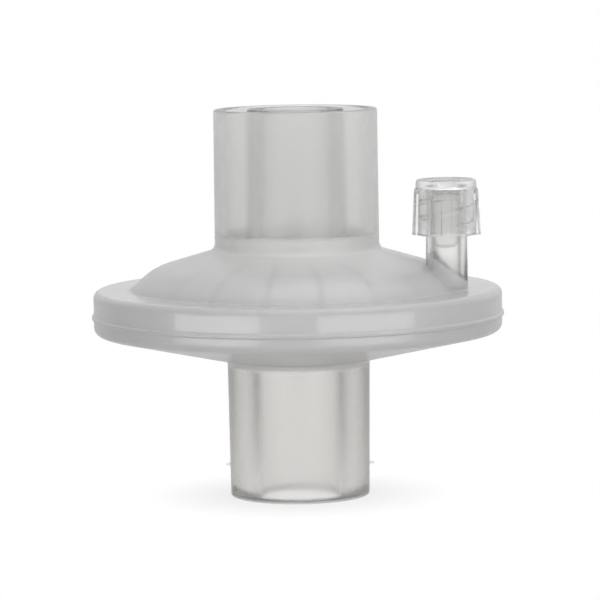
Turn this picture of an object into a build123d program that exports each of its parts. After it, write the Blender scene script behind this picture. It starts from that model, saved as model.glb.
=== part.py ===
"""Breathing circuit filter, in millimetres, +Z up.

The origin is the centre of the lower port's end face, on the surface it stands on. The axis of
both ports is Z. The sampling port stands on the shoulder on the +X side, a little towards -Y.
"""
import os
from math import atan2, cos, radians, sin, tan

from build123d import *

# Whole filter
total_height = 61.0
wall = 1.6
cone_taper = 1 / 40          # of the port cones, on the diameter
edge_round = 0.3

# Rim, where the two shells are welded together
disc_radius = 32.15
rim_lower_depth = 2.5        # from the rim's lower corner up to the parting face
rim_upper_depth = 4.15       # from the parting face up to the flat shoulder
lower_corner_round = 1.7
shoulder_round = 1.5
weld_bead_width = 0.3        # how far the bead stands out of the rim
weld_bead_half = 0.4         # its height in each shell
tongue_width = 0.8
tongue_depth = 1.0
weld_gap = 0.05
rim_land = 2.5               # thickness of the lower shell at the parting face

# Lower port, a thick-walled 22 mm male cone with a plain bore
lower_tip_radius = 10.95
lower_port_length = 21.5
underside_rise = 4.65        # of the conical underside, from the port to the rim
lower_bore_radius = 6.35
lower_bore_round = 1.0       # where the bore opens under the medium
lower_port_fillet = 0.9
witness_height = 4.95        # two small moulding pips on the lower port
witness_length = 0.6
witness_radius = 0.25

# Dome and flat shoulder of the upper shell
shoulder_width = 5.85
dome_height = 6.2
dome_bend_height = 3.24      # the bend in the dome's side, above the shoulder
dome_bend_inset = 3.35       # and in from the dome's foot
dome_bend_reach = 4.15       # how far the bend's rounding reaches along each side
dome_foot_fillet = 0.5

# Upper port, a 22 mm socket with a 15 mm male tube inside it
upper_tip_radius = 12.85
upper_draft = 0.25           # in degrees
upper_port_fillet = 1.4
socket22_mouth_radius = 11.35
socket22_floor_drop = 0.1    # below the top of the dome
tube15_tip_radius = 7.62
tube15_bore_radius = 5.5
port_lead = 0.25
web_count = 4
web_width = 4.1
web_height = 2.2

# Filter medium, and the seat, ring and ribs that hold it
medium_thickness = 2.2
medium_gap = 0.2
seat_depth = 1.25            # below the parting face
seat_width = 1.5
clamp_ring_width = 1.2
clamp_ring_inset = 0.2
rib_count = 18
rib_thickness = 1.0
rib_turn = -1.4              # in degrees
rib_setback = 1.6            # from the lower bore to the lower ribs
upper_rib_setback = 0.65     # from the foot of the upper port to the upper ribs

# Sampling port, a female luer
luer_inset = 8.05            # from the rim to the port's axis
luer_azimuth = -15.0
luer_height = 15.5           # above the shoulder
luer_radius = 3.2
luer_draft = 0.6             # in degrees
luer_mouth_radius = 2.15
luer_taper = 0.06            # on the diameter
luer_cone_depth = 9.5
luer_edge_round = 0.15
lug_radius = 3.9
lug_width = 3.2
lug_height = 1.0
lug_drop = 0.3

# Luer cap
cap_height = 8.55
cap_roof = 1.2
cap_headroom = 0.55          # between the port's end and the roof of the cap
cap_top_radius = 4.69
cap_bottom_radius = 5.05
cap_lug_clearance = 0.2
cap_edge_round = 0.35
grip_count = 10
grip_width = 1.5
grip_drop = 1.45             # from the top of the cap down to the top of a grip rib
grip_top_proud = 0.32
grip_bottom_proud = 0.42
grip_round = 0.15
plug_reach = 9.0             # into the port
plug_clearance = 0.05
plug_nose_round = 0.85

# Heights that follow, from the surface up
rim_corner_height = lower_port_length + underside_rise
parting_height = rim_corner_height + rim_lower_depth
shoulder_height = parting_height + rim_upper_depth
dome_top_height = shoulder_height + dome_height
socket22_floor = dome_top_height - socket22_floor_drop
medium_seat_height = parting_height - seat_depth
medium_top = medium_seat_height + medium_thickness
luer_top = shoulder_height + luer_height
roof_under = luer_top + cap_headroom
cap_top = roof_under + cap_roof
cap_bottom = cap_top - cap_height
plug_end = luer_top - plug_reach

# Radii and places that follow
lower_root_radius = lower_tip_radius + lower_port_length * cone_taper / 2
upper_root_radius = upper_tip_radius + (total_height - dome_top_height) * tan(radians(upper_draft))
rim_inner_radius = disc_radius - wall
land_radius = disc_radius - rim_land
medium_radius = land_radius - medium_gap
seat_radius = medium_radius - seat_width
dome_foot_radius = disc_radius - shoulder_width
cap_bore_radius = lug_radius + cap_lug_clearance
luer_offset = disc_radius - luer_inset
luer_centre = (
    luer_offset * cos(radians(luer_azimuth)),
    luer_offset * sin(radians(luer_azimuth)),
)
underside_angle = atan2(underside_rise, disc_radius - lower_root_radius)


def turned(*corners):
    """Solid of revolution about Z; each corner is (radius, height, rounding)."""
    points = [(radius, height) for radius, height, rounding in corners]
    roundings = [rounding for radius, height, rounding in corners]
    outline = FilletPolyline(*points, radius=roundings, close=True)
    return revolve(Plane.XZ * make_face(outline), Axis.Z)


def crossing(point_a, angle_a, point_b, angle_b):
    """Where two falling lines cross, each given by a point and its angle below the horizontal."""
    slope_a = -tan(angle_a)
    slope_b = -tan(angle_b)
    rise = point_b[1] - point_a[1] + slope_a * point_a[0] - slope_b * point_b[0]
    radius = rise / (slope_a - slope_b)
    return radius, point_a[1] + slope_a * (radius - point_a[0])


def radial_bars(count, turn, start, end, width, low, high):
    """Straight bars that run out from the axis, evenly spaced round it."""
    bar = Pos((start + end) / 2, 0, (low + high) / 2) * Box(end - start, width, high - low)
    return [Rot(0, 0, turn + 360 / count * index) * bar for index in range(count)]


def chamber_floor(radius):
    """Height of the floor under the medium, a wall above the conical underside."""
    underside = lower_port_length + (radius - lower_root_radius) * tan(underside_angle)
    return underside + wall / cos(underside_angle)


def make_lower_body():
    bead = disc_radius + weld_bead_width
    return turned(
        (0, 0, 0),
        (lower_tip_radius, 0, edge_round),
        (lower_root_radius, lower_port_length, lower_port_fillet),
        (disc_radius, rim_corner_height, lower_corner_round),
        (disc_radius, parting_height - weld_bead_half, 0),
        (bead, parting_height - weld_bead_half / 2, 0),
        (bead, parting_height, 0),
        (0, parting_height, 0),
    )


def make_lower_hollow():
    """The bore and the space under the medium, less the ribs that stand in it."""
    space = turned(
        (0, 0, 0),
        (lower_bore_radius + edge_round, 0, 0),
        (lower_bore_radius, edge_round, 0),
        (lower_bore_radius, chamber_floor(lower_bore_radius), lower_bore_round),
        (seat_radius, chamber_floor(seat_radius), 0),
        (seat_radius, medium_seat_height, 0),
        (land_radius, medium_seat_height, 0),
        (land_radius, parting_height, 0),
        (0, parting_height, 0),
    )
    start = lower_bore_radius + rib_setback
    ribs = radial_bars(
        rib_count, rib_turn, start, seat_radius, rib_thickness, lower_port_length, medium_seat_height
    )
    return space - ribs


def make_weld_ring(gap):
    """The tongue of the upper shell, or with a gap the groove of the lower shell."""
    low = parting_height - tongue_depth - gap
    return turned(
        (rim_inner_radius - gap, low, 0),
        (rim_inner_radius + tongue_width + gap, low, 0),
        (rim_inner_radius + tongue_width + gap, parting_height, 0),
        (rim_inner_radius - gap, parting_height, 0),
    )


def make_witness_pips():
    """Two small moulding pips, left and right on the lower port."""
    side = lower_tip_radius + witness_height * cone_taper / 2
    pin = Rot(0, 90, 0) * Cylinder(witness_radius, 2 * (side + witness_length))
    core = Cylinder(side - wall, 4 * witness_radius)
    return Pos(0, 0, witness_height) * (pin - core)


def make_lower_shell():
    return make_lower_body() + make_witness_pips() - make_lower_hollow() - make_weld_ring(weld_gap)


def dome_corners(inset):
    """Foot, bend with its rounding, and top of the dome's side, moved in by a wall thickness."""
    bend_radius = dome_foot_radius - dome_bend_inset
    upper_angle = atan2(dome_height - dome_bend_height, bend_radius - upper_root_radius)
    lower_angle = atan2(dome_bend_height, dome_bend_inset)
    top = (upper_root_radius, dome_top_height - inset / cos(upper_angle))
    side = (dome_foot_radius, shoulder_height - inset / cos(lower_angle))
    foot = crossing(side, lower_angle, (dome_foot_radius, shoulder_height - inset), 0)
    bend = crossing(top, upper_angle, side, lower_angle)
    bend_round = dome_bend_reach / tan((lower_angle - upper_angle) / 2) - inset
    return foot, (*bend, bend_round), top


def make_upper_body():
    foot, bend, top = dome_corners(0)
    bead = disc_radius + weld_bead_width
    return turned(
        (0, parting_height, 0),
        (bead, parting_height, 0),
        (bead, parting_height + weld_bead_half / 2, 0),
        (disc_radius, parting_height + weld_bead_half, 0),
        (disc_radius, shoulder_height, shoulder_round),
        (*foot, dome_foot_fillet),
        bend,
        (*top, upper_port_fillet),
        (upper_tip_radius, total_height, edge_round),
        (0, total_height, 0),
    )


def make_upper_chamber():
    """The space above the medium, less the clamping ring and the ribs that stand in it."""
    foot, bend, top = dome_corners(wall)
    ceiling = socket22_floor - wall
    space = turned(
        (0, parting_height, 0),
        (rim_inner_radius, parting_height, 0),
        (rim_inner_radius, shoulder_height - wall, 0),
        (*foot, 0),
        bend,
        (*top, 0),
        (upper_root_radius - wall, ceiling, 0),
        (0, ceiling, 0),
    )
    ring_outer = medium_radius - clamp_ring_inset
    ring_inner = ring_outer - clamp_ring_width
    ring = turned(
        (ring_inner, medium_top, 0),
        (ring_outer, medium_top, 0),
        (ring_outer, shoulder_height, 0),
        (ring_inner, shoulder_height, 0),
    )
    start = upper_root_radius + upper_rib_setback
    end = (ring_inner + ring_outer) / 2
    ribs = radial_bars(rib_count, rib_turn, start, end, rib_thickness, medium_top, dome_top_height)
    return space - ring - ribs


def make_upper_port_hollows():
    depth = total_height - socket22_floor
    gap = turned(
        (tube15_tip_radius + depth * cone_taper / 2, socket22_floor, 0),
        (socket22_mouth_radius - depth * cone_taper / 2, socket22_floor, 0),
        (socket22_mouth_radius, total_height - port_lead, 0),
        (socket22_mouth_radius + port_lead, total_height, 0),
        (tube15_tip_radius - port_lead, total_height, 0),
        (tube15_tip_radius, total_height - port_lead, 0),
    )
    webs = radial_bars(
        web_count, 0, 0, upper_tip_radius, web_width, socket22_floor, socket22_floor + web_height
    )
    bore_length = total_height - socket22_floor + wall
    bore = turned(
        (0, socket22_floor - wall, 0),
        (tube15_bore_radius + bore_length * cone_taper / 2, socket22_floor - wall, 0),
        (tube15_bore_radius, total_height - port_lead, 0),
        (tube15_bore_radius + port_lead, total_height, 0),
        (0, total_height, 0),
    )
    return (gap - webs) + bore


def luer_bore_radius(height):
    return luer_mouth_radius - (luer_top - height) * luer_taper / 2


def make_luer_spigot():
    """The sampling port's tube and lugs, on the Z axis; its foot reaches into the shell."""
    foot = shoulder_height - wall
    foot_radius = luer_radius + (cap_bottom - foot) * tan(radians(luer_draft))
    tube = turned(
        (0, foot, 0),
        (foot_radius, foot, 0),
        (luer_radius, cap_bottom, 0),
        (luer_radius, luer_top, luer_edge_round),
        (0, luer_top, 0),
    )
    lugs = Cylinder(lug_radius, lug_height) & Box(2 * lug_radius, lug_width, lug_height)
    return tube + Pos(0, 0, luer_top - lug_drop - lug_height / 2) * lugs


def make_luer_bore():
    cone_end = luer_top - luer_cone_depth
    low = shoulder_height - 2 * wall
    return turned(
        (0, low, 0),
        (luer_bore_radius(cone_end), low, 0),
        (luer_bore_radius(cone_end), cone_end, 0),
        (luer_mouth_radius, luer_top, 0),
        (0, luer_top, 0),
    )


def make_upper_shell():
    place = Pos(*luer_centre, 0)
    shell = make_upper_body() + place * make_luer_spigot()
    shell = shell - make_upper_chamber() - make_upper_port_hollows() - place * make_luer_bore()
    return shell + make_weld_ring(0)


def make_medium():
    middle = medium_seat_height + medium_thickness / 2
    return Pos(0, 0, middle) * Cylinder(medium_radius, medium_thickness)


def make_grips(grip_top):
    """Grip ribs with rounded tops, which stand further out towards the cap's open end."""
    wrap = turned(
        (0, cap_bottom, 0),
        (cap_bottom_radius + grip_bottom_proud, cap_bottom, grip_round),
        (cap_top_radius + grip_top_proud, grip_top, grip_round),
        (0, grip_top, 0),
    )
    height = grip_top - cap_bottom
    arch = Pos(0, height / 2) * Rectangle(grip_width, height)
    arch = fillet(arch.vertices().sort_by(Axis.Y)[2:], grip_width * 0.495)
    facing_out = Plane(origin=(0, 0, cap_bottom), x_dir=(0, 1, 0), z_dir=(1, 0, 0))
    bar = extrude(facing_out * arch, 2 * cap_bottom_radius)
    return [wrap & (Rot(0, 0, 360 / grip_count * index) * bar) for index in range(grip_count)]


def make_luer_cap():
    body = turned(
        (0, cap_bottom, 0),
        (cap_bottom_radius, cap_bottom, 0),
        (cap_top_radius, cap_top, cap_edge_round),
        (0, cap_top, 0),
    )
    bore = Pos(0, 0, (cap_bottom + roof_under) / 2) * Cylinder(cap_bore_radius, roof_under - cap_bottom)
    plug = turned(
        (0, plug_end, 0),
        (luer_bore_radius(plug_end) - plug_clearance, plug_end, plug_nose_round),
        (luer_bore_radius(roof_under) - plug_clearance, roof_under, 0),
        (0, roof_under, 0),
    )
    return Pos(*luer_centre, 0) * (body + make_grips(cap_top - grip_drop) - bore + plug)


pieces = {
    "lower_shell": make_lower_shell(),
    "upper_shell": make_upper_shell(),
    "filter_medium": make_medium(),
    "luer_cap": make_luer_cap(),
}

os.makedirs("parts", exist_ok=True)
for name, piece in pieces.items():
    export_step(piece, f"parts/{name}.step")
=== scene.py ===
"""Looks of the breathing circuit filter: two frosted shells, a fibre medium and a clear luer cap."""

from math import atan2, cos, floor, hypot, pi, radians, sin, sqrt, tan

import bmesh
import bpy
from mathutils import Matrix, Vector


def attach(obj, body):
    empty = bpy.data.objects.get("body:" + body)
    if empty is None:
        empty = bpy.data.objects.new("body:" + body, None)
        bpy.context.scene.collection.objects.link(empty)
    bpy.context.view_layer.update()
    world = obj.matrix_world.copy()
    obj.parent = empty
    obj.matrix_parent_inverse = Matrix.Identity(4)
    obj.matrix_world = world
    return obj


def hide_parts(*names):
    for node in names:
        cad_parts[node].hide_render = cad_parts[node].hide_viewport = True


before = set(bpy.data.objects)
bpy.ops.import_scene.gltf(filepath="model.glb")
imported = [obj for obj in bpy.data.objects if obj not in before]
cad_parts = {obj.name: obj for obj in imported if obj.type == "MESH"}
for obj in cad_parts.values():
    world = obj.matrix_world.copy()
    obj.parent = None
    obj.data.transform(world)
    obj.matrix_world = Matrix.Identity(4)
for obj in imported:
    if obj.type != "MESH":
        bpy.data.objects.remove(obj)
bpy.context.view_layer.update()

MM = 0.001

# Sizes in millimetres, from the part's source. The total height and the bead are a few thousandths less,
# so that the pieces stay inside the solids' box.
TOTAL_HEIGHT = 60.998
WALL = 1.6
CONE_TAPER = 1 / 40
EDGE_ROUND = 0.3
LIP_ROUND = 0.12             # of the lead-ins at the upper port's mouths
INNER_ROUND = 0.3            # of the corners inside the dome
GROOVE_ROUND = 0.05
DISC_RADIUS = 32.15
RIM_CORNER_HEIGHT = 26.15
PARTING_HEIGHT = 28.65
SHOULDER_HEIGHT = 32.8
BEAD_RADIUS = 32.445
BEAD_HALF = 0.4
BEAD_ROUND = 0.12
BEAD_FOOT_ROUND = 0.2
SEAM_ROUND = 0.03
RIM_TOP_ROUND = 1.1          # tighter than in the solid, as the photo shows it
RIM_LOWER_ROUND = 1.7
RIM_INNER_RADIUS = DISC_RADIUS - WALL
LAND_RADIUS = 29.65
MEDIUM_RADIUS = 29.45
SEAT_RADIUS = 27.95
SEAT_HEIGHT = 27.4
SEAT_ROUND = 0.1
MEDIUM_TOP = 29.6
TONGUE_WIDTH = 0.8
TONGUE_DEPTH = 1.0
WELD_GAP = 0.05
LOWER_TIP_RADIUS = 10.95
LOWER_PORT_LENGTH = 21.5
LOWER_ROOT_RADIUS = LOWER_TIP_RADIUS + LOWER_PORT_LENGTH * CONE_TAPER / 2
UNDERSIDE_SLOPE = (RIM_CORNER_HEIGHT - LOWER_PORT_LENGTH) / (DISC_RADIUS - LOWER_ROOT_RADIUS)
LOWER_BORE_RADIUS = 6.35
LOWER_BORE_ROUND = 1.0
LOWER_PORT_FILLET = 0.9
WITNESS_HEIGHT = 4.85        # two moulding pips, a little lower and longer than in the solid
WITNESS_LENGTH = 0.72
WITNESS_RADIUS = 0.25
WITNESS_SUNK = 0.6
DOME_FOOT_RADIUS = 26.3
DOME_TOP_HEIGHT = 39.0
DOME_BEND_HEIGHT = 3.24
DOME_BEND_INSET = 3.35
DOME_BEND_REACH = 4.15
DOME_FOOT_FILLET = 0.5
UPPER_TIP_RADIUS = 12.85
UPPER_ROOT_RADIUS = 12.946
UPPER_PORT_FILLET = 1.4
SOCKET22_RADIUS = 11.35
SOCKET22_FLOOR = 38.9
TUBE15_RADIUS = 7.62
TUBE15_BORE = 5.5
SOCKET_FLOOR_ROUND = 0.4
PORT_LEAD = 0.25
WEB_COUNT = 4
WEB_WIDTH = 4.1
WEB_HEIGHT = 2.2
RIB_COUNT = 18
RIB_THICKNESS = 1.0
RIB_TURN = radians(-1.4)
UPPER_RIB_START = 13.6
LOWER_RIB_START = 7.95
RING_OUTER = 29.25
RING_INNER = 28.05
JOIN_DEPTH = 0.5             # how far ribs, ring and webs reach into the wall that carries them
LUER_OFFSET = 24.1
LUER_AZIMUTH = radians(-15.0)
LUER_TOP = 48.3
LUER_RADIUS = 3.2
LUER_DRAFT = 0.0105
LUER_MOUTH_RADIUS = 2.15
LUER_TAPER = 0.06
LUER_CONE_DEPTH = 9.5
LUER_FOOT_FILLET = 0.3
LUER_FOOT_LEVEL = 38.6       # where the rows that follow the dome have become level
LUER_BORE_FLOOR = 29.9
LUER_EDGE = 0.15
LUG_PROUD = 0.7
LUG_HALF_ANGLE = 0.62
LUG_SIDE_ANGLE = 0.12
LUG_ROWS = ((46.95, 0.0), (47.1, 0.85), (47.2, 1.0), (47.8, 1.0), (47.9, 0.85), (48.05, 0.0))
CAP_BOTTOM = 41.5
CAP_TOP = 50.05
CAP_ROOF = 1.2
CAP_TOP_RADIUS = 4.69
CAP_BOTTOM_RADIUS = 5.05
CAP_BORE_RADIUS = 4.1
CAP_DISH_RADIUS = 3.2
CAP_DISH_DEPTH = 0.12
GRIP_COUNT = 10
GRIP_WIDTH = 1.5
GRIP_TOP = 48.6
GRIP_TOP_PROUD = 0.32
GRIP_BOTTOM_PROUD = 0.4
GRIP_TURN = radians(-92.0)
GRIP_EDGE = 0.2
GRIP_ROWS = 54
THREAD_LEAD = 5.0
THREAD_STARTS = 2
THREAD_PROUD = 0.14
THREAD_BOTTOM = 41.9
THREAD_TOP = 47.9
THREAD_FADE = 0.5
THREAD_HALF = 0.42
THREAD_SIDE = 0.2
THREAD_ROWS = 63
THREAD_STEP = 0.1
PLUG_END = 39.3
PLUG_CLEARANCE = 0.05
PLUG_NOSE = 1.0
SEAM_GAP = 0.005
SEE_GAP = 0.02               # keeps faces that meet from lying in one plane

# Where the housing's plastic changes, in millimetres
FROST_START = (20.2, 21.4)   # heights between which the lower port turns frosted
FROST_END = (38.6, 39.4)     # and the dome turns clear inside the upper port
FROST_OUTER_RISE = 2.4       # the frost ends this much higher on the outside of the upper port
OUTER_FACE = (12.2, 12.5)    # distances from the axis between its inner and outer faces
LUER_FOOT_FROST = 36.35      # height at which the sampling port's foot turns frosted
LUER_FOOT_LEAN = 0.72
LUER_FOOT_BLEND = 0.4
LUER_SKIN = (0.3, 1.1)       # outside the sampling port's tube
BASE_EDGE = (0.3, 0.5)       # heights of the matt edge that the filter stands on
BASE_EDGE_FROST = 0.8
SHOULDER_INSET = (0.45, 0.55)  # where the shining shoulder starts outside the dome's foot
SHOULDER_BELOW = (0.12, 0.04)  # below its height
SHOULDER_ABOVE = (0.05, 0.3)   # and above it
PAINTED_LIGHT_BELOW = (20.8, 22.4)  # painted light: the lower port's lighter base colour ends between these heights
PAINTED_LIGHT_ABOVE = (35.5, 38.5)  # and the painted lighter colour of the upper port and the dome's top starts

# Looks of the plastics
PLASTIC_TINT = (0.62, 0.6, 0.57)
HOUSING_DENSITY = 72.0
CAP_DENSITY = 2.0
FROST_COAT = 0.35
SHOULDER_COAT = 0.6
LUER_CLARITY = 0.98
PORT_ROUGHNESS = 0.18
FROST_ROUGHNESS = 0.38
FROST_CLARITY = 0.44
PORT_CLARITY = 0.962
SKIN_CLARITY = 0.75          # outside of the upper port

# Light. Lengths in metres.
MIRRORED_LEVEL = 0.75        # of the backdrop in reflections
WORLD_LEVEL = 0.74
WORLD_SIDE = 0.3             # share of it at the sides
WORLD_RIGHT = 0.17           # how much lighter it is to the right
WORLD_UP = 0.26              # and overhead
SIDE_LEVEL = 0.42            # of the backdrop at the sides
BACKDROP_START = 0.25
BACKDROP_FULL = 0.85
OVERHEAD = (0.4, 0.7)        # the backdrop turns white overhead
FLOOR_TONE = 0.7
FLOOR_NEAR = 0.8             # glow of the floor beside the base, which keeps the shadow
FLOOR_WHITE = (0.011, 0.024)  # distances over which it rises to white
FLOOR_DIM = (0.03, 0.12)     # and over which the sides' dimmer level sets in
FLOOR_THROUGH = 0.95         # share of the glow that shows in and through the object
STRIP_DISTANCE = 0.2
STRIP_HEIGHT = 0.009
STRIP_WIDTH = 0.0115

LUER_X = LUER_OFFSET * cos(LUER_AZIMUTH)
LUER_Y = LUER_OFFSET * sin(LUER_AZIMUTH)


def rounded(corners, closed=True, step=radians(9)):
    """Points along a line through corners (radius, height, rounding), with arcs at the corners."""
    count = len(corners)
    points = []
    for index, (radius, height, rounding) in enumerate(corners):
        corner = Vector((radius, height))
        ends = not closed and index in (0, count - 1)
        if ends or rounding <= 0:
            points.append(corner)
            continue
        before = Vector(corners[index - 1][:2]) - corner
        after = Vector(corners[(index + 1) % count][:2]) - corner
        half = before.angle(after) / 2
        reach = min(rounding / tan(half), 0.48 * before.length, 0.48 * after.length)
        rounding = reach * tan(half)
        middle = (before.normalized() + after.normalized()).normalized() * (rounding / sin(half))
        centre = corner + middle
        start = corner + before.normalized() * reach - centre
        turn = start.angle_signed(corner + after.normalized() * reach - centre)
        parts = max(2, int(abs(turn) / step) + 1)
        for part in range(parts + 1):
            angle = -turn * part / parts
            points.append(centre + Matrix.Rotation(angle, 2) @ start)
    return [(point.x, point.y) for point in points]


def lathe(name, rows, segments, closed=True, centre=(0.0, 0.0)):
    """Mesh turned about Z; a row is (radius, height), or a function of the angle that gives both."""
    mesh = bmesh.new()
    rings = []
    for row in rows:
        if not callable(row) and row[0] < 1e-6:
            rings.append([mesh.verts.new((centre[0] * MM, centre[1] * MM, row[1] * MM))])
            continue
        ring = []
        for index in range(segments):
            angle = 2 * pi * index / segments
            radius, height = row(angle) if callable(row) else row
            place = (centre[0] + radius * cos(angle), centre[1] + radius * sin(angle), height)
            ring.append(mesh.verts.new(Vector(place) * MM))
        rings.append(ring)
    pairs = list(zip(rings, rings[1:]))
    if closed:
        pairs.append((rings[-1], rings[0]))
    for first, second in pairs:
        for index in range(segments):
            following = (index + 1) % segments
            if len(first) == 1:
                mesh.faces.new((first[0], second[index], second[following]))
            elif len(second) == 1:
                mesh.faces.new((first[index], second[0], first[following]))
            else:
                mesh.faces.new((first[index], second[index], second[following], first[following]))
    return finish_mesh(name, mesh)


def finish_mesh(name, mesh):
    """Object from a bmesh, with all faces turned outwards."""
    bmesh.ops.recalc_face_normals(mesh, faces=mesh.faces)
    data = bpy.data.meshes.new(name)
    mesh.to_mesh(data)
    mesh.free()
    piece = bpy.data.objects.new(name, data)
    bpy.context.collection.objects.link(piece)
    return piece


def plates(name, outline, thickness, count, turn):
    """Flat plates with an outline in radius and height, spread evenly round the axis."""
    mesh = bmesh.new()
    for index in range(count):
        angle = turn + 2 * pi * index / count
        along = Vector((cos(angle), sin(angle), 0))
        across = Vector((-sin(angle), cos(angle), 0)) * (thickness / 2)
        sides = []
        for side in (-1, 1):
            ring = [along * radius + across * side + Vector((0, 0, height)) for radius, height in outline]
            sides.append([mesh.verts.new(place * MM) for place in ring])
        mesh.faces.new(sides[0])
        mesh.faces.new(reversed(sides[1]))
        for first, second in zip(range(len(outline)), [*range(1, len(outline)), 0]):
            mesh.faces.new((sides[0][first], sides[1][first], sides[1][second], sides[0][second]))
    return finish_mesh(name, mesh)


def combine(piece, tool, operation):
    """Joins a tool to a piece, or cuts it away, and removes the tool."""
    step = piece.modifiers.new("combine", "BOOLEAN")
    step.operation = operation
    step.solver = "EXACT"
    step.object = tool
    depsgraph = bpy.context.evaluated_depsgraph_get()
    result = bpy.data.meshes.new_from_object(piece.evaluated_get(depsgraph))
    piece.modifiers.clear()
    piece.data = result
    bpy.data.objects.remove(tool)


def smooth(piece, sharp=radians(32)):
    """Smooth shading in which the wide flat faces keep their own direction."""
    piece.data.shade_smooth()
    piece.data.set_sharp_from_angle(angle=sharp)
    steady = piece.modifiers.new("steady", "WEIGHTED_NORMAL")
    steady.keep_sharp = True
    steady.weight = 80


def crossing(point_a, slope_a, point_b, slope_b):
    """Where two sloping lines meet."""
    radius = (point_b[1] - point_a[1] + slope_a * point_a[0] - slope_b * point_b[0]) / (slope_a - slope_b)
    return radius, point_a[1] + slope_a * (radius - point_a[0])


def dome_corners(inset):
    """Foot, bend and top of the dome's side, moved in by a wall thickness."""
    bend_radius = DOME_FOOT_RADIUS - DOME_BEND_INSET
    rise = DOME_TOP_HEIGHT - SHOULDER_HEIGHT - DOME_BEND_HEIGHT
    upper = atan2(rise, bend_radius - UPPER_ROOT_RADIUS)
    lower = atan2(DOME_BEND_HEIGHT, DOME_BEND_INSET)
    top = (UPPER_ROOT_RADIUS, DOME_TOP_HEIGHT - inset / cos(upper))
    side = (DOME_FOOT_RADIUS, SHOULDER_HEIGHT - inset / cos(lower))
    foot = crossing(side, -tan(lower), (0, SHOULDER_HEIGHT - inset), 0.0)
    bend = crossing(top, -tan(upper), side, -tan(lower))
    bend_round = DOME_BEND_REACH / tan((lower - upper) / 2) - inset
    return foot, (*bend, bend_round), top


def height_on(outline, radius):
    """Height of a falling outline at a radius."""
    for (first_r, first_z), (second_r, second_z) in zip(outline, outline[1:]):
        low, high = sorted((first_r, second_r))
        if low <= radius <= high and high > low:
            share = (radius - first_r) / (second_r - first_r)
            return first_z + (second_z - first_z) * share
    return outline[-1][1]


def luer_bore(height):
    """Radius of the tapered bore of the sampling port."""
    return LUER_MOUTH_RADIUS - (LUER_TOP - height) * LUER_TAPER / 2


def make_spigot():
    """Tube of the sampling port, whose foot follows the dome with a fillet."""
    foot, bend, top = dome_corners(0)
    side = [(*top, 0), bend, (*foot, DOME_FOOT_FILLET), (DISC_RADIUS, SHOULDER_HEIGHT, 0)]
    dome = rounded(side, closed=False)

    def base_radius(height):
        return LUER_RADIUS + max(0.0, CAP_BOTTOM - height) * LUER_DRAFT

    def dome_height(radius, angle):
        x = LUER_X + radius * cos(angle)
        y = LUER_Y + radius * sin(angle)
        return height_on(dome, hypot(x, y))

    def foot_row(above):
        lean = 1 - min(1.0, max(0.0, above / LUER_FOOT_FILLET))
        radius = base_radius(SHOULDER_HEIGHT) + LUER_FOOT_FILLET * (1 - sqrt(1 - lean * lean))
        return lambda angle: (radius, dome_height(radius, angle) + above)

    def rising_row(share):
        radius = base_radius(SHOULDER_HEIGHT) * (1 - share) + base_radius(LUER_FOOT_LEVEL) * share

        def place(angle):
            start = dome_height(radius, angle) + LUER_FOOT_FILLET
            return radius, start * (1 - share) + LUER_FOOT_LEVEL * share

        return place

    def lug_row(height, raise_by):
        def place(angle):
            side = abs(((angle / pi) % 1.0) - 0.5) * pi
            slope = min(1.0, max(0.0, (LUG_HALF_ANGLE - side) / LUG_SIDE_ANGLE))
            return LUER_RADIUS + raise_by * slope, height

        return place

    rows = [(0.0, SHOULDER_HEIGHT - 0.8)]
    rows += [foot_row(above) for above in (-0.6, 0.0, 0.02, 0.05, 0.1, 0.18, 0.3)]
    rows += [rising_row(share) for share in (0.3, 0.6, 1.0)]
    rows += [(base_radius(height), height) for height in (40.0, 41.5, 44.0, 46.8)]
    rows += [lug_row(height, LUG_PROUD * share) for height, share in LUG_ROWS]
    rows += [(LUER_RADIUS, LUER_TOP - LUER_EDGE), (LUER_RADIUS - 0.05, LUER_TOP - 0.05)]
    rows += [(LUER_RADIUS - LUER_EDGE, LUER_TOP), (0.0, LUER_TOP)]
    return lathe("spigot", rows, 96, closed=False, centre=(LUER_X, LUER_Y))


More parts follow.
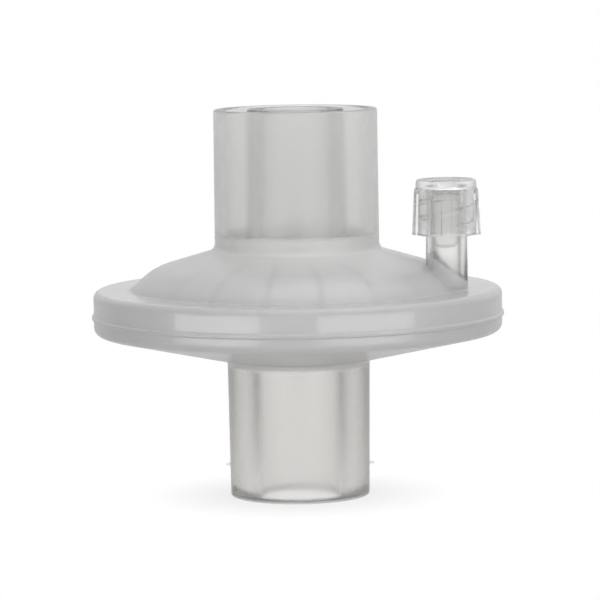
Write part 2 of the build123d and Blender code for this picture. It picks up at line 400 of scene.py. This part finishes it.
def make_upper_shell():
    """Upper port with its inner tube and webs, dome, shoulder, rim, ribs and sampling port."""
    foot, bend, top = dome_corners(0)
    inner_foot, inner_bend, inner_top = dome_corners(WALL)
    depth = TOTAL_HEIGHT - SOCKET22_FLOOR
    low = PARTING_HEIGHT + SEAM_GAP
    tongue = RIM_INNER_RADIUS + TONGUE_WIDTH
    ceiling = SOCKET22_FLOOR - WALL
    section = rounded([
        (BEAD_RADIUS, low, SEAM_ROUND), (BEAD_RADIUS, PARTING_HEIGHT + BEAD_HALF / 2, BEAD_ROUND),
        (DISC_RADIUS, PARTING_HEIGHT + BEAD_HALF, BEAD_FOOT_ROUND),
        (DISC_RADIUS, SHOULDER_HEIGHT, RIM_TOP_ROUND),
        (*foot, DOME_FOOT_FILLET), bend, (*top, UPPER_PORT_FILLET),
        (UPPER_TIP_RADIUS, TOTAL_HEIGHT, EDGE_ROUND),
        (SOCKET22_RADIUS + PORT_LEAD, TOTAL_HEIGHT, LIP_ROUND),
        (SOCKET22_RADIUS, TOTAL_HEIGHT - PORT_LEAD, LIP_ROUND),
        (SOCKET22_RADIUS - depth * CONE_TAPER / 2, SOCKET22_FLOOR, SOCKET_FLOOR_ROUND),
        (TUBE15_RADIUS + depth * CONE_TAPER / 2, SOCKET22_FLOOR, SOCKET_FLOOR_ROUND),
        (TUBE15_RADIUS, TOTAL_HEIGHT - PORT_LEAD, LIP_ROUND),
        (TUBE15_RADIUS - PORT_LEAD, TOTAL_HEIGHT, LIP_ROUND),
        (TUBE15_BORE + PORT_LEAD, TOTAL_HEIGHT, LIP_ROUND),
        (TUBE15_BORE, TOTAL_HEIGHT - PORT_LEAD, LIP_ROUND),
        (TUBE15_BORE + (depth + WALL) * CONE_TAPER / 2, ceiling, 0.5),
        (UPPER_ROOT_RADIUS - WALL, ceiling, INNER_ROUND),
        (*inner_top, INNER_ROUND), inner_bend, (*inner_foot, INNER_ROUND),
        (RIM_INNER_RADIUS, SHOULDER_HEIGHT - WALL, 0.5),
        (RIM_INNER_RADIUS, PARTING_HEIGHT - TONGUE_DEPTH, 0.1),
        (tongue, PARTING_HEIGHT - TONGUE_DEPTH, 0.1), (tongue, low, 0.0),
    ])
    shell = lathe("upper_housing", section, 240)
    roof = rounded([
        (*inner_top, INNER_ROUND), inner_bend, (*inner_foot, INNER_ROUND), (RIM_INNER_RADIUS, inner_foot[1], 0),
    ], closed=False)
    rib_end = (RING_INNER + RING_OUTER) / 2
    rib = [(UPPER_RIB_START, MEDIUM_TOP + SEE_GAP)]
    rib += [(UPPER_RIB_START, height_on(roof, UPPER_RIB_START) + JOIN_DEPTH)]
    rib += [(radius, height + JOIN_DEPTH) for radius, height in roof if UPPER_RIB_START < radius < rib_end]
    rib += [(rib_end, inner_foot[1] + JOIN_DEPTH), (rib_end, MEDIUM_TOP + SEE_GAP)]
    combine(shell, plates("ribs", rib, RIB_THICKNESS, RIB_COUNT, RIB_TURN), "UNION")
    ring = [
        (RING_INNER, MEDIUM_TOP + SEE_GAP), (RING_OUTER, MEDIUM_TOP + SEE_GAP),
        (RING_OUTER, inner_foot[1] + JOIN_DEPTH), (RING_INNER, inner_foot[1] + JOIN_DEPTH),
    ]
    combine(shell, lathe("ring", ring, 240), "UNION")
    web_start = TUBE15_RADIUS - JOIN_DEPTH
    web_end = SOCKET22_RADIUS + 0.4
    web = [(web_start, SOCKET22_FLOOR - JOIN_DEPTH), (web_end, SOCKET22_FLOOR - JOIN_DEPTH)]
    web += [(web_end, SOCKET22_FLOOR + WEB_HEIGHT), (web_start, SOCKET22_FLOOR + WEB_HEIGHT)]
    combine(shell, plates("webs", web, WEB_WIDTH, WEB_COUNT, 0.0), "UNION")
    combine(shell, make_spigot(), "UNION")
    cone_end = LUER_TOP - LUER_CONE_DEPTH
    drill = [
        (0.0, LUER_BORE_FLOOR), (luer_bore(cone_end), LUER_BORE_FLOOR), (luer_bore(cone_end), cone_end),
        (LUER_MOUTH_RADIUS, LUER_TOP - 0.1), (LUER_MOUTH_RADIUS + 0.3, LUER_TOP + 0.2), (0.0, LUER_TOP + 0.2),
    ]
    combine(shell, lathe("drill", drill, 64, closed=False, centre=(LUER_X, LUER_Y)), "DIFFERENCE")
    return shell


def make_lower_shell():
    """Lower port, conical underside, rim with the weld groove, seat, ribs and two moulding pips."""
    rise = RIM_CORNER_HEIGHT - LOWER_PORT_LENGTH
    floor_lift = WALL / cos(atan2(rise, DISC_RADIUS - LOWER_ROOT_RADIUS))

    def floor_height(radius):
        return LOWER_PORT_LENGTH + (radius - LOWER_ROOT_RADIUS) * UNDERSIDE_SLOPE + floor_lift

    groove_outer = RIM_INNER_RADIUS + TONGUE_WIDTH + WELD_GAP
    groove_inner = RIM_INNER_RADIUS - WELD_GAP
    groove_floor = PARTING_HEIGHT - TONGUE_DEPTH - WELD_GAP
    section = rounded([
        (LOWER_TIP_RADIUS, 0.0, EDGE_ROUND), (LOWER_ROOT_RADIUS, LOWER_PORT_LENGTH, LOWER_PORT_FILLET),
        (DISC_RADIUS, RIM_CORNER_HEIGHT, RIM_LOWER_ROUND),
        (DISC_RADIUS, PARTING_HEIGHT - BEAD_HALF, BEAD_FOOT_ROUND),
        (BEAD_RADIUS, PARTING_HEIGHT - BEAD_HALF / 2, BEAD_ROUND), (BEAD_RADIUS, PARTING_HEIGHT, SEAM_ROUND),
        (groove_outer, PARTING_HEIGHT, GROOVE_ROUND), (groove_outer, groove_floor, GROOVE_ROUND),
        (groove_inner, groove_floor, GROOVE_ROUND), (groove_inner, PARTING_HEIGHT, GROOVE_ROUND),
        (LAND_RADIUS, PARTING_HEIGHT, SEAT_ROUND), (LAND_RADIUS, SEAT_HEIGHT, SEAT_ROUND),
        (SEAT_RADIUS, SEAT_HEIGHT, SEAT_ROUND), (SEAT_RADIUS, floor_height(SEAT_RADIUS), 0.2),
        (LOWER_BORE_RADIUS, floor_height(LOWER_BORE_RADIUS), LOWER_BORE_ROUND),
        (LOWER_BORE_RADIUS, 0.0, EDGE_ROUND),
    ])
    shell = lathe("lower_housing", section, 240)
    rib_end = SEAT_RADIUS + JOIN_DEPTH
    rib = [
        (LOWER_RIB_START, floor_height(LOWER_RIB_START) - JOIN_DEPTH),
        (rib_end, floor_height(rib_end) - JOIN_DEPTH),
        (rib_end, SEAT_HEIGHT - SEE_GAP), (LOWER_RIB_START, SEAT_HEIGHT - SEE_GAP),
    ]
    combine(shell, plates("ribs", rib, RIB_THICKNESS, RIB_COUNT, RIB_TURN), "UNION")
    side = LOWER_TIP_RADIUS + WITNESS_HEIGHT * CONE_TAPER / 2
    for way in (-1, 1):
        outline = [
            (0.0, side - WITNESS_SUNK), (WITNESS_RADIUS, side - WITNESS_SUNK), (WITNESS_RADIUS, side),
            (WITNESS_RADIUS * 0.6, side + WITNESS_LENGTH * 0.8), (0.0, side + WITNESS_LENGTH),
        ]
        pip = lathe("pip", outline, 16, closed=False)
        pip.data.transform(Matrix.Rotation(way * pi / 2, 4, "Y"))
        pip.data.transform(Matrix.Translation((0, 0, WITNESS_HEIGHT * MM)))
        combine(shell, pip, "UNION")
    return shell


def make_medium():
    """Nonwoven pad: a flat disc of even thickness with rounded edges, between the seat and the ribs."""
    section = rounded([
        (0.0, SEAT_HEIGHT + SEE_GAP, 0), (MEDIUM_RADIUS - 0.1, SEAT_HEIGHT + SEE_GAP, 0.3),
        (MEDIUM_RADIUS - 0.1, MEDIUM_TOP - SEE_GAP, 0.3), (0.0, MEDIUM_TOP - SEE_GAP, 0),
    ], closed=False)
    return lathe("fibre_medium", section, 120, closed=False)


def make_cap():
    """Clear screw cap: grip ribs with arched tops, a thread inside and a plug."""
    half = GRIP_WIDTH / 2
    arch_start = GRIP_TOP - half
    roof_under = CAP_TOP - CAP_ROOF

    def side_radius(height):
        share = (height - CAP_BOTTOM) / (CAP_TOP - CAP_BOTTOM)
        return CAP_BOTTOM_RADIUS + (CAP_TOP_RADIUS - CAP_BOTTOM_RADIUS) * share

    def grip_row(height):
        base = side_radius(height)
        share = (height - CAP_BOTTOM) / (GRIP_TOP - CAP_BOTTOM)
        proud = GRIP_BOTTOM_PROUD + (GRIP_TOP_PROUD - GRIP_BOTTOM_PROUD) * min(1.0, share)
        over = max(0.0, height - arch_start)
        width = sqrt(max(0.0, half * half - over * over))

        def place(angle):
            turn = ((angle - GRIP_TURN) * GRIP_COUNT / (2 * pi) + 0.5) % 1.0 - 0.5
            across = abs(turn) * 2 * pi / GRIP_COUNT * base
            rise = min(1.0, max(0.0, (width - across) / GRIP_EDGE + 0.5))
            rise = rise * rise * (3 - 2 * rise) if width > 0 else 0.0
            return base + proud * rise, height

        return place

    def thread_row(height):
        fade = min(1.0, max(0.0, (height - THREAD_BOTTOM) / THREAD_FADE))
        fade *= min(1.0, max(0.0, (THREAD_TOP - height) / THREAD_FADE))

        def place(angle):
            phase = (THREAD_STARTS * (height / THREAD_LEAD - angle / (2 * pi))) % 1.0
            near = abs(phase - 0.5) * THREAD_LEAD / THREAD_STARTS
            ridge = min(1.0, max(0.0, (THREAD_HALF - near) / THREAD_SIDE))
            return CAP_BORE_RADIUS - THREAD_PROUD * ridge * fade, height

        return place

    dish = CAP_TOP - CAP_DISH_DEPTH
    rows = [(0.0, dish), (CAP_DISH_RADIUS, dish)]
    rows += [(CAP_DISH_RADIUS + 0.25, CAP_TOP - 0.03), (CAP_DISH_RADIUS + 0.4, CAP_TOP)]
    rows += [(CAP_TOP_RADIUS - 0.3, CAP_TOP), (CAP_TOP_RADIUS - 0.1, CAP_TOP - 0.08)]
    rows += [(CAP_TOP_RADIUS, CAP_TOP - 0.3), (side_radius(49.0), 49.0)]
    grip_height = GRIP_TOP - CAP_BOTTOM
    rows += [grip_row(GRIP_TOP + 0.1 - grip_height * step / GRIP_ROWS) for step in range(GRIP_ROWS)]
    rows += [grip_row(CAP_BOTTOM + 0.06), (lambda angle: (grip_row(CAP_BOTTOM)(angle)[0] - 0.08, CAP_BOTTOM))]
    rows += [(CAP_BORE_RADIUS + 0.25, CAP_BOTTOM), (CAP_BORE_RADIUS, CAP_BOTTOM + 0.2)]
    thread_start = THREAD_BOTTOM - THREAD_STEP
    rows += [thread_row(thread_start + THREAD_STEP * step) for step in range(THREAD_ROWS)]
    plug_low = luer_bore(PLUG_END) - PLUG_CLEARANCE
    plug_high = luer_bore(roof_under) - PLUG_CLEARANCE
    rows += [(CAP_BORE_RADIUS, roof_under - 0.2), (CAP_BORE_RADIUS - 0.2, roof_under)]
    rows += [(plug_high + 0.2, roof_under), (plug_high, roof_under - 0.2)]
    rows += [(plug_low + 0.05, PLUG_END + PLUG_NOSE + 0.5), (plug_low, PLUG_END + PLUG_NOSE)]
    rows += [
        (plug_low * cos(angle), PLUG_END + PLUG_NOSE - PLUG_NOSE * sin(angle))
        for angle in (radians(10 * part) for part in range(1, 9))
    ]
    rows += [(0.0, PLUG_END)]
    return lathe("clear_luer_cap", rows, 240, closed=False, centre=(LUER_X, LUER_Y))


def new_material(name):
    """Material with one Principled shader."""
    material = bpy.data.materials.new(name)
    material.use_nodes = True
    tree = material.node_tree
    tree.nodes.clear()
    output = tree.nodes.new("ShaderNodeOutputMaterial")
    shader = tree.nodes.new("ShaderNodeBsdfPrincipled")
    tree.links.new(shader.outputs["BSDF"], output.inputs["Surface"])
    return material, tree, shader, output


def ramp(tree, low, high, from_low=0.35, from_high=0.65):
    """Map Range node without its source."""
    node = tree.nodes.new("ShaderNodeMapRange")
    node.inputs["From Min"].default_value = from_low
    node.inputs["From Max"].default_value = from_high
    node.inputs["To Min"].default_value = low
    node.inputs["To Max"].default_value = high
    return node


def add_noise(tree, scale, detail=3.0, stretch=(1, 1, 1)):
    place = tree.nodes.new("ShaderNodeTexCoord")
    mapping = tree.nodes.new("ShaderNodeMapping")
    mapping.inputs["Scale"].default_value = stretch
    noise = tree.nodes.new("ShaderNodeTexNoise")
    noise.inputs["Scale"].default_value = scale
    noise.inputs["Detail"].default_value = detail
    tree.links.new(place.outputs["Object"], mapping.inputs["Vector"])
    tree.links.new(mapping.outputs["Vector"], noise.inputs["Vector"])
    return noise


def add_bump(tree, shader, source, strength, distance):
    bump = tree.nodes.new("ShaderNodeBump")
    bump.inputs["Strength"].default_value = strength
    bump.inputs["Distance"].default_value = distance
    tree.links.new(source.outputs["Fac"], bump.inputs["Height"])
    tree.links.new(bump.outputs["Normal"], shader.inputs["Normal"])


def add_absorption(tree, output, color, density):
    volume = tree.nodes.new("ShaderNodeVolumeAbsorption")
    volume.inputs["Color"].default_value = (*color, 1)
    volume.inputs["Density"].default_value = density
    tree.links.new(volume.outputs["Volume"], output.inputs["Volume"])


def math_node(tree, operation, first, second):
    """Math node on two values, each a float or a socket."""
    node = tree.nodes.new("ShaderNodeMath")
    node.operation = operation
    for socket, value in zip(node.inputs, (first, second)):
        if isinstance(value, float):
            socket.default_value = value
        else:
            tree.links.new(value, socket)
    return node.outputs["Value"]


def scaled(tree, source, low, high, from_low, from_high):
    """A value that goes from low to high while the source goes from from_low to from_high."""
    node = ramp(tree, low, high, from_low, from_high)
    tree.links.new(source, node.inputs["Value"])
    return node.outputs["Result"]


def axis_distance(tree, place, x, y):
    """Distance from an upright axis."""
    axis = tree.nodes.new("ShaderNodeVectorMath")
    axis.operation = "SUBTRACT"
    axis.inputs[1].default_value = (x * MM, y * MM, 0)
    tree.links.new(place, axis.inputs[0])
    level = tree.nodes.new("ShaderNodeVectorMath")
    level.operation = "MULTIPLY"
    level.inputs[1].default_value = (1, 1, 0)
    tree.links.new(axis.outputs["Vector"], level.inputs[0])
    reach = tree.nodes.new("ShaderNodeVectorMath")
    reach.operation = "LENGTH"
    tree.links.new(level.outputs["Vector"], reach.inputs[0])
    return reach.outputs["Value"]


def surface_zones(tree):
    """Shares of the surface that are frosted, flat shoulder, painted lighter, sampling port and outside the
    port.
    """
    place = tree.nodes.new("ShaderNodeTexCoord").outputs["Object"]
    split = tree.nodes.new("ShaderNodeSeparateXYZ")
    tree.links.new(place, split.inputs["Vector"])
    height = split.outputs["Z"]

    def span(source, low, high, limits, offset=0.0, signs=(1, 1)):
        start, end = (offset + sign * limit for sign, limit in zip(signs, limits))
        return scaled(tree, source, low, high, start * MM, end * MM)

    lower = span(height, 0.0, 1.0, FROST_START)
    reach = axis_distance(tree, place, 0.0, 0.0)
    outer = span(reach, 0.0, 1.0, OUTER_FACE)
    outer_rise = math_node(tree, "MULTIPLY", outer, FROST_OUTER_RISE * MM)
    upper = span(math_node(tree, "SUBTRACT", height, outer_rise), 1.0, 0.0, FROST_END)
    lean = math_node(tree, "MULTIPLY", split.outputs["X"], LUER_FOOT_LEAN)
    slant = math_node(tree, "ADD", height, lean)
    middle = LUER_FOOT_FROST + LUER_FOOT_LEAN * LUER_X
    foot = span(slant, 1.0, 0.0, (LUER_FOOT_BLEND, LUER_FOOT_BLEND), middle, (-1, 1))
    away = span(axis_distance(tree, place, LUER_X, LUER_Y), 0.0, 1.0, LUER_SKIN, LUER_RADIUS)
    elsewhere = math_node(tree, "MAXIMUM", away, foot)
    base_edge = span(height, BASE_EDGE_FROST, 0.0, BASE_EDGE)
    ports = math_node(tree, "MAXIMUM", math_node(tree, "MINIMUM", lower, upper), base_edge)
    frost = math_node(tree, "MINIMUM", elsewhere, ports)
    outside = span(reach, 0.0, 1.0, SHOULDER_INSET, DOME_FOOT_RADIUS)
    above = span(height, 0.0, 1.0, SHOULDER_BELOW, SHOULDER_HEIGHT, (-1, -1))
    below = span(height, 1.0, 0.0, SHOULDER_ABOVE, SHOULDER_HEIGHT)
    shoulder = math_node(tree, "MINIMUM", outside, math_node(tree, "MINIMUM", above, below))
    # Painted light: a lighter base colour on the lower port and from the dome's top upwards
    painted_light_share = span(height, 1.0, 0.0, PAINTED_LIGHT_BELOW)
    painted_light_share = math_node(tree, "MAXIMUM", painted_light_share, span(height, 0.0, 1.0, PAINTED_LIGHT_ABOVE))
    luer = math_node(tree, "SUBTRACT", 1.0, elsewhere)
    return frost, shoulder, painted_light_share, luer, outer


def make_housing_plastic():
    """Milky translucent plastic, polished on the ports and frosted between them."""
    material, tree, shader, output = new_material("housing_plastic")
    shader.inputs["IOR"].default_value = 1.57
    shader.inputs["Coat Roughness"].default_value = 0.1
    shader.inputs["Coat IOR"].default_value = 1.5
    frost, shoulder, painted_light_share, luer, outer = surface_zones(tree)
    # Base colour from the painted-light share, lighter on the ports and the dome's top
    tone = tree.nodes.new("ShaderNodeValToRGB")
    tone.color_ramp.elements[0].color = (0.82, 0.82, 0.82, 1)
    tone.color_ramp.elements[1].color = (0.985, 0.985, 0.98, 1)
    tree.links.new(painted_light_share, tone.inputs["Fac"])
    tree.links.new(tone.outputs["Color"], shader.inputs["Base Color"])
    flow = add_noise(tree, 120, stretch=(1, 1, 0.25))
    vary = scaled(tree, flow.outputs["Fac"], 0.0, 0.05, 0.35, 0.65)
    rough = scaled(tree, frost, PORT_ROUGHNESS, FROST_ROUGHNESS, 0.0, 1.0)
    tree.links.new(math_node(tree, "ADD", rough, vary), shader.inputs["Roughness"])
    hazed = math_node(tree, "MULTIPLY", outer, SKIN_CLARITY - PORT_CLARITY)
    polished = math_node(tree, "ADD", hazed, PORT_CLARITY)
    polished = math_node(tree, "ADD", polished, math_node(tree, "MULTIPLY", luer, LUER_CLARITY - SKIN_CLARITY))
    share = math_node(tree, "MULTIPLY", polished, math_node(tree, "SUBTRACT", 1.0, frost))
    clear = math_node(tree, "ADD", share, math_node(tree, "MULTIPLY", frost, FROST_CLARITY))
    tree.links.new(clear, shader.inputs["Transmission Weight"])
    frost_coat = math_node(tree, "MULTIPLY", frost, FROST_COAT)
    shoulder_coat = math_node(tree, "MULTIPLY", shoulder, SHOULDER_COAT)
    tree.links.new(math_node(tree, "ADD", frost_coat, shoulder_coat), shader.inputs["Coat Weight"])
    add_bump(tree, shader, flow, 0.08, 0.00002)
    add_absorption(tree, output, PLASTIC_TINT, HOUSING_DENSITY)
    return material


def make_clear_plastic():
    """Clear plastic of the screw cap, with a faint haze."""
    material, tree, shader, output = new_material("clear_plastic")
    shader.inputs["Base Color"].default_value = (0.995, 0.995, 0.995, 1)
    shader.inputs["IOR"].default_value = 1.46
    shader.inputs["Transmission Weight"].default_value = 0.9
    flow = add_noise(tree, 150)
    tree.links.new(scaled(tree, flow.outputs["Fac"], 0.2, 0.24, 0.35, 0.65), shader.inputs["Roughness"])
    add_bump(tree, shader, flow, 0.08, 0.00002)
    add_absorption(tree, output, PLASTIC_TINT, CAP_DENSITY)
    return material


def make_fibre():
    """White nonwoven: fine crossed fibres and soft clouds of thickness."""
    material, tree, shader, output = new_material("medium_fibre")
    shader.inputs["Roughness"].default_value = 0.9
    shader.inputs["Sheen Weight"].default_value = 0.3
    clouds = add_noise(tree, 180, detail=6.0)
    fibres = add_noise(tree, 1600, detail=8.0, stretch=(1, 0.15, 1))
    tint = tree.nodes.new("ShaderNodeValToRGB")
    tint.color_ramp.elements[0].color = (0.82, 0.82, 0.8, 1)
    tint.color_ramp.elements[1].color = (0.93, 0.93, 0.92, 1)
    tree.links.new(clouds.outputs["Fac"], tint.inputs["Fac"])
    tree.links.new(tint.outputs["Color"], shader.inputs["Base Color"])
    add_bump(tree, shader, fibres, 0.6, 0.0001)
    return material


def dress(piece, node, body, material):
    """Gives a piece its material and puts it in its node's place."""
    smooth(piece)
    piece.data.materials.clear()
    piece.data.materials.append(material)
    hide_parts(node)
    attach(piece, body)


def seen_rays(tree):
    """One for what the camera sees straight on, and one for what it sees in or through the object."""
    path = tree.nodes.new("ShaderNodeLightPath")
    through = math_node(tree, "MAXIMUM", path.outputs["Is Glossy Ray"], path.outputs["Is Transmission Ray"])
    mirrored = scaled(tree, path.outputs["Is Reflection Ray"], 1.0, MIRRORED_LEVEL, 0.0, 1.0)
    return path.outputs["Is Camera Ray"], through, mirrored


def backdrop_level(tree, coordinates):
    """White in front of and behind the object and dimmer at its sides, by the direction from it.

    Gives the level, and how far the direction points to the front or back."""
    place = tree.nodes.new("ShaderNodeTexCoord")
    flat = tree.nodes.new("ShaderNodeVectorMath")
    flat.operation = "MULTIPLY"
    flat.inputs[1].default_value = (1, 1, 0)
    tree.links.new(place.outputs[coordinates], flat.inputs[0])
    way = tree.nodes.new("ShaderNodeVectorMath")
    way.operation = "NORMALIZE"
    tree.links.new(flat.outputs["Vector"], way.inputs[0])
    split = tree.nodes.new("ShaderNodeSeparateXYZ")
    tree.links.new(way.outputs["Vector"], split.inputs["Vector"])
    level = ramp(tree, SIDE_LEVEL, 1.0, BACKDROP_START, BACKDROP_FULL)
    level.interpolation_type = "SMOOTHSTEP"
    depth = tree.nodes.new("ShaderNodeMath")
    depth.operation = "ABSOLUTE"
    tree.links.new(split.outputs["Y"], depth.inputs[0])
    tree.links.new(depth.outputs["Value"], level.inputs["Value"])
    return level.outputs["Result"], depth.outputs["Value"]


def make_stage():
    """Pale floor that keeps the object's shadow."""
    bpy.ops.mesh.primitive_plane_add(size=6.0, location=(0, 0, -0.00005))
    ground = bpy.context.object
    ground.name = "pale_floor"
    material = bpy.data.materials.new("pale_floor")
    material.use_nodes = True
    tree = material.node_tree
    tree.nodes.clear()
    output = tree.nodes.new("ShaderNodeOutputMaterial")
    matt = tree.nodes.new("ShaderNodeBsdfDiffuse")
    matt.inputs["Color"].default_value = (FLOOR_TONE, FLOOR_TONE, FLOOR_TONE, 1)
    glow = tree.nodes.new("ShaderNodeEmission")
    camera_ray, through_ray, mirrored = seen_rays(tree)
    level, _ = backdrop_level(tree, "Object")
    reach = axis_distance(tree, tree.nodes.new("ShaderNodeTexCoord").outputs["Object"], 0.0, 0.0)
    far = scaled(tree, reach, 0.0, 1.0, *FLOOR_DIM)
    whiten = scaled(tree, reach, FLOOR_NEAR, 1.0, *FLOOR_WHITE)
    dim = math_node(tree, "MULTIPLY", math_node(tree, "SUBTRACT", 1.0, level), far)
    strength = math_node(tree, "SUBTRACT", 1.0, math_node(tree, "MULTIPLY", dim, through_ray))
    strength = math_node(tree, "MULTIPLY", strength, mirrored)
    tree.links.new(strength, glow.inputs["Strength"])
    shown = math_node(tree, "MULTIPLY", camera_ray, whiten)
    share = math_node(tree, "MAXIMUM", shown, math_node(tree, "MULTIPLY", through_ray, FLOOR_THROUGH))
    mix = tree.nodes.new("ShaderNodeMixShader")
    tree.links.new(share, mix.inputs["Fac"])
    tree.links.new(matt.outputs["BSDF"], mix.inputs[1])
    tree.links.new(glow.outputs["Emission"], mix.inputs[2])
    tree.links.new(mix.outputs["Shader"], output.inputs["Surface"])
    ground.data.materials.append(material)


def make_world():
    """White for the camera, the dimmed backdrop in and through the object, and soft light for the rest."""
    world = bpy.data.worlds.new("studio")
    bpy.context.scene.world = world
    world.use_nodes = True
    tree = world.node_tree
    tree.nodes.clear()
    output = tree.nodes.new("ShaderNodeOutputWorld")
    light = tree.nodes.new("ShaderNodeBackground")
    light.inputs["Color"].default_value = (1, 1, 1, 1)
    white = tree.nodes.new("ShaderNodeBackground")
    white.inputs["Color"].default_value = (1, 1, 1, 1)
    camera_ray, through_ray, mirrored = seen_rays(tree)
    level, depth = backdrop_level(tree, "Generated")
    split = tree.nodes.new("ShaderNodeSeparateXYZ")
    tree.links.new(tree.nodes.new("ShaderNodeTexCoord").outputs["Generated"], split.inputs["Vector"])
    overhead = scaled(tree, split.outputs["Z"], SIDE_LEVEL, 1.0, *OVERHEAD)
    level = math_node(tree, "MAXIMUM", level, overhead)
    soft = scaled(tree, depth, WORLD_LEVEL * WORLD_SIDE, WORLD_LEVEL, 0.0, 1.0)
    soft = math_node(tree, "ADD", soft, math_node(tree, "MULTIPLY", split.outputs["X"], WORLD_RIGHT))
    soft = math_node(tree, "ADD", soft, math_node(tree, "MULTIPLY", split.outputs["Z"], WORLD_UP))
    tree.links.new(soft, light.inputs["Strength"])
    strength = math_node(tree, "MAXIMUM", camera_ray, math_node(tree, "MULTIPLY", level, mirrored))
    tree.links.new(strength, white.inputs["Strength"])
    mix = tree.nodes.new("ShaderNodeMixShader")
    tree.links.new(math_node(tree, "MAXIMUM", camera_ray, through_ray), mix.inputs["Fac"])
    tree.links.new(light.outputs["Background"], mix.inputs[1])
    tree.links.new(white.outputs["Background"], mix.inputs[2])
    tree.links.new(mix.outputs["Shader"], output.inputs["Surface"])


def add_softbox(name, place, size, power, through=False):
    """Area lamp aimed at the middle of the filter."""
    lamp = bpy.data.lights.new(name, "AREA")
    lamp.shape = "RECTANGLE"
    lamp.size, lamp.size_y = size
    lamp.energy = power
    softbox = bpy.data.objects.new(name, lamp)
    bpy.context.collection.objects.link(softbox)
    softbox.location = place
    aim = Vector((0, 0, 0.03)) - Vector(place)
    softbox.rotation_euler = aim.to_track_quat("-Z", "Y").to_euler()
    softbox.visible_camera = False
    softbox.visible_transmission = through


def strip_place(azimuth):
    """Place of a strip lamp at an angle from the front, positive to the right."""
    turn = radians(azimuth)
    return STRIP_DISTANCE * sin(turn), -STRIP_DISTANCE * cos(turn), STRIP_HEIGHT


def make_camera():
    """The photograph's camera, in front of the filter and a little above it."""
    distance = 0.580
    height = 0.0913
    pitch = 0.1039
    turn = 0.0006
    roll = 0.0139
    focal_pixels = 3700.0
    photo_width = 600.0
    data = bpy.data.cameras.new("camera")
    data.sensor_width = 36.0
    data.lens = data.sensor_width * focal_pixels / photo_width
    camera = bpy.data.objects.new("camera", data)
    bpy.context.collection.objects.link(camera)
    facing = Matrix.Rotation(-turn, 4, "Z") @ Matrix.Rotation(pi / 2 - pitch, 4, "X")
    camera.matrix_world = Matrix.Translation((0, -distance, height)) @ facing @ Matrix.Rotation(-roll, 4, "Z")
    bpy.context.scene.camera = camera


upper = make_upper_shell()
lower = make_lower_shell()
housing_plastic = make_housing_plastic()
dress(upper, "upper_shell", "housing", housing_plastic)
dress(lower, "lower_shell", "housing", housing_plastic)
medium = make_medium()
dress(medium, "filter_medium", "housing", make_fibre())
dress(make_cap(), "luer_cap", "cap", make_clear_plastic())

make_stage()
make_world()
add_softbox("left_strip", strip_place(-43.5), size=(0.178, STRIP_WIDTH), power=0.047)
add_softbox("right_strip", strip_place(36.5), size=(0.2, STRIP_WIDTH), power=0.045)
add_softbox("top_softbox", (0.15, -0.15, 0.8), size=(0.8, 0.8), power=2.2, through=True)
make_camera()
scene = bpy.context.scene
scene.view_settings.view_transform = "Standard"
scene.cycles.max_bounces = 24
scene.cycles.transmission_bounces = 24
scene.cycles.transparent_max_bounces = 16
